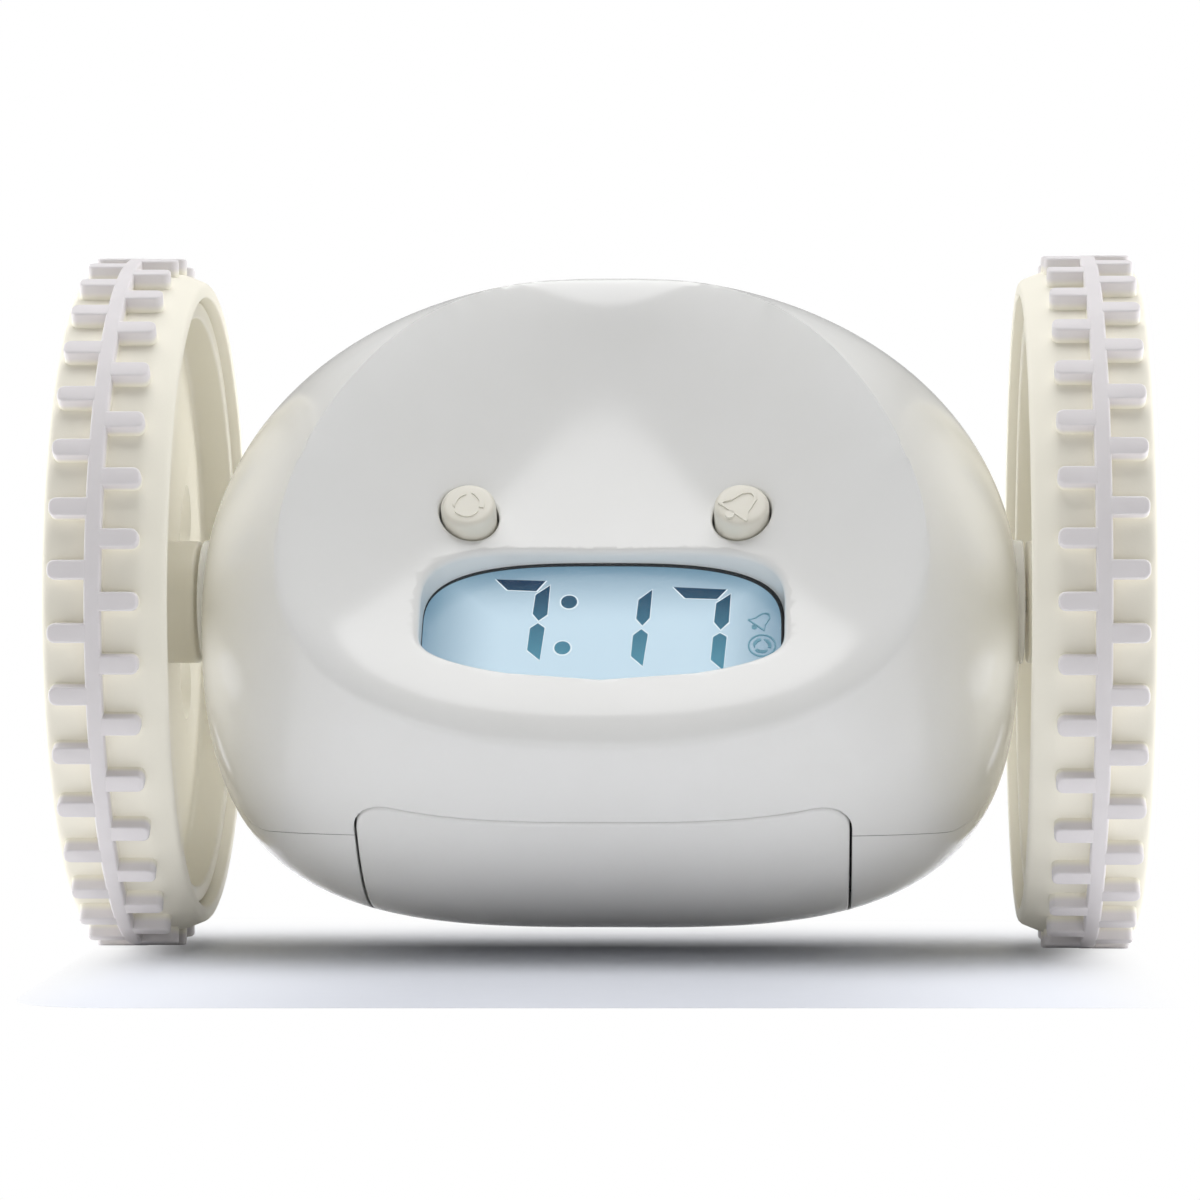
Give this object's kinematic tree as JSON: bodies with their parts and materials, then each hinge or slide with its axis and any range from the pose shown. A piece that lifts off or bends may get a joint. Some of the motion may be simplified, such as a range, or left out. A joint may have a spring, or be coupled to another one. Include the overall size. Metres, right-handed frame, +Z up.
{
  "type": "rolling alarm clock",
  "caption": "Egg-shaped alarm clock with a scooped face, display window and push buttons, slung between large lugged wheels that drive it about.",
  "frame": {"origin": "on the floor under the middle of the clock, midway between the wheels and straight below their common axis", "axes": "+X along the wheels' axis to the right of someone facing the display, +Y away from the face, +Z up"},
  "size_m": [0.1338, 0.089, 0.089],
  "materials": {
    "ivory_abs": "gloss",
    "cream_abs": "satin",
    "tyre_rubber": "matte",
    "clear_acrylic": "polished",
    "display_glass": "gloss",
    "diffuser_acrylic": "satin",
    "board_laminate": "satin",
    "black_plastic": "satin",
    "steel": "satin",
    "motor_can": "satin",
    "sintered_bronze": "satin",
    "gear_nylon": "satin",
    "cell_jacket": "satin",
    "speaker_paper": "matte"
  },
  "bodies": {
    "clock_body": {"front_shell": "ivory_abs", "rear_shell": "ivory_abs", "display_lens": "clear_acrylic", "lcd_panel": "display_glass", "lcd_backlight": "diffuser_acrylic", "main_pcb": "board_laminate", "snooze_switch": "black_plastic", "alarm_switch": "black_plastic", "battery_tray": "black_plastic", "battery_1": "cell_jacket", "battery_2": "cell_jacket", "battery_3": "cell_jacket", "battery_4": "cell_jacket", "battery_contact_left": "steel", "battery_contact_right": "steel", "motor_left": "motor_can", "motor_right": "motor_can", "gear_pin_1_left": "steel", "gear_pin_1_right": "steel", "gear_pin_2_left": "steel", "gear_pin_2_right": "steel", "gearbox_inner_plate_left": "black_plastic", "gearbox_inner_plate_right": "black_plastic", "gearbox_outer_plate_left": "black_plastic", "gearbox_outer_plate_right": "black_plastic", "axle_bush_left": "sintered_bronze", "axle_bush_right": "sintered_bronze", "speaker_frame": "black_plastic", "speaker_cone": "speaker_paper", "speaker_magnet": "steel", "key_board": "board_laminate", "case_screw_1": "steel", "case_screw_2": "steel", "case_screw_3": "steel", "case_screw_4": "steel"},
    "wheel_left": {"tyre_left": "tyre_rubber", "wheel_hub_left": "ivory_abs", "hub_cap_left": "ivory_abs", "wheel_axle_left": "steel", "output_gear_left": "gear_nylon"},
    "wheel_right": {"tyre_right": "tyre_rubber", "wheel_hub_right": "ivory_abs", "hub_cap_right": "ivory_abs", "wheel_axle_right": "steel", "output_gear_right": "gear_nylon"},
    "second_gear_left": {"compound_gear_2_left": "gear_nylon"},
    "second_gear_right": {"compound_gear_2_right": "gear_nylon"},
    "first_gear_left": {"compound_gear_1_left": "gear_nylon"},
    "first_gear_right": {"compound_gear_1_right": "gear_nylon"},
    "pinion_left": {"motor_pinion_left": "gear_nylon"},
    "pinion_right": {"motor_pinion_right": "gear_nylon"},
    "snooze_button": {"snooze_button": "cream_abs"},
    "alarm_button": {"alarm_button": "cream_abs"},
    "battery_door": {"battery_door": "ivory_abs"},
    "setting_key_1": {"setting_key_1": "cream_abs"},
    "setting_key_2": {"setting_key_2": "cream_abs"},
    "setting_key_3": {"setting_key_3": "cream_abs"},
    "setting_key_4": {"setting_key_4": "cream_abs"}
  },
  "joints": [
    {"name": "wheel_left_spin", "type": "hinge", "parent": "clock_body", "child": "wheel_left", "pos_m": [0, 0, 0.0445], "axis": [1, 0, 0], "continuous": true},
    {"name": "wheel_right_spin", "type": "hinge", "parent": "clock_body", "child": "wheel_right", "pos_m": [0, 0, 0.0445], "axis": [1, 0, 0], "continuous": true},
    {"name": "second_gear_left_spin", "type": "hinge", "parent": "clock_body", "child": "second_gear_left", "pos_m": [0, 0.00602, 0.05493], "axis": [1, 0, 0], "continuous": true},
    {"name": "second_gear_right_spin", "type": "hinge", "parent": "clock_body", "child": "second_gear_right", "pos_m": [0, 0.00602, 0.05493], "axis": [1, 0, 0], "continuous": true},
    {"name": "first_gear_left_spin", "type": "hinge", "parent": "clock_body", "child": "first_gear_left", "pos_m": [0, 0.01693, 0.04984], "axis": [1, 0, 0], "continuous": true},
    {"name": "first_gear_right_spin", "type": "hinge", "parent": "clock_body", "child": "first_gear_right", "pos_m": [0, 0.01693, 0.04984], "axis": [1, 0, 0], "continuous": true},
    {"name": "pinion_left_spin", "type": "hinge", "parent": "clock_body", "child": "pinion_left", "pos_m": [0, 0.01382, 0.03821], "axis": [1, 0, 0], "continuous": true},
    {"name": "pinion_right_spin", "type": "hinge", "parent": "clock_body", "child": "pinion_right", "pos_m": [0, 0.01382, 0.03821], "axis": [1, 0, 0], "continuous": true},
    {"name": "snooze_button_press", "type": "slide", "parent": "clock_body", "child": "snooze_button", "axis": [0, 0.788, -0.6157], "range_m": [0, 0.0008], "stiffness_N_per_m": 300},
    {"name": "alarm_button_press", "type": "slide", "parent": "clock_body", "child": "alarm_button", "axis": [0, 0.788, -0.6157], "range_m": [0, 0.0008], "stiffness_N_per_m": 300},
    {"name": "setting_key_1_press", "type": "slide", "parent": "clock_body", "child": "setting_key_1", "axis": [0, -0.9239, -0.3827], "range_m": [0, 0.0006], "stiffness_N_per_m": 300},
    {"name": "setting_key_2_press", "type": "slide", "parent": "clock_body", "child": "setting_key_2", "axis": [0, -0.9239, -0.3827], "range_m": [0, 0.0006], "stiffness_N_per_m": 300},
    {"name": "setting_key_3_press", "type": "slide", "parent": "clock_body", "child": "setting_key_3", "axis": [0, -0.9239, -0.3827], "range_m": [0, 0.0006], "stiffness_N_per_m": 300},
    {"name": "setting_key_4_press", "type": "slide", "parent": "clock_body", "child": "setting_key_4", "axis": [0, -0.9239, -0.3827], "range_m": [0, 0.0006], "stiffness_N_per_m": 300},
    {"name": "battery_door_lift", "type": "slide", "parent": "clock_body", "child": "battery_door", "axis": [0, -0.4337, -0.9011], "range_m": [0, 0.015]}
  ],
  "couplings": [
    {"joint": "second_gear_left_spin", "follows": "wheel_left_spin", "ratio": -2.5},
    {"joint": "first_gear_left_spin", "follows": "wheel_left_spin", "ratio": 6.25},
    {"joint": "pinion_left_spin", "follows": "wheel_left_spin", "ratio": -15.625},
    {"joint": "second_gear_right_spin", "follows": "wheel_right_spin", "ratio": -2.5},
    {"joint": "first_gear_right_spin", "follows": "wheel_right_spin", "ratio": 6.25},
    {"joint": "pinion_right_spin", "follows": "wheel_right_spin", "ratio": -15.625}
  ]
}
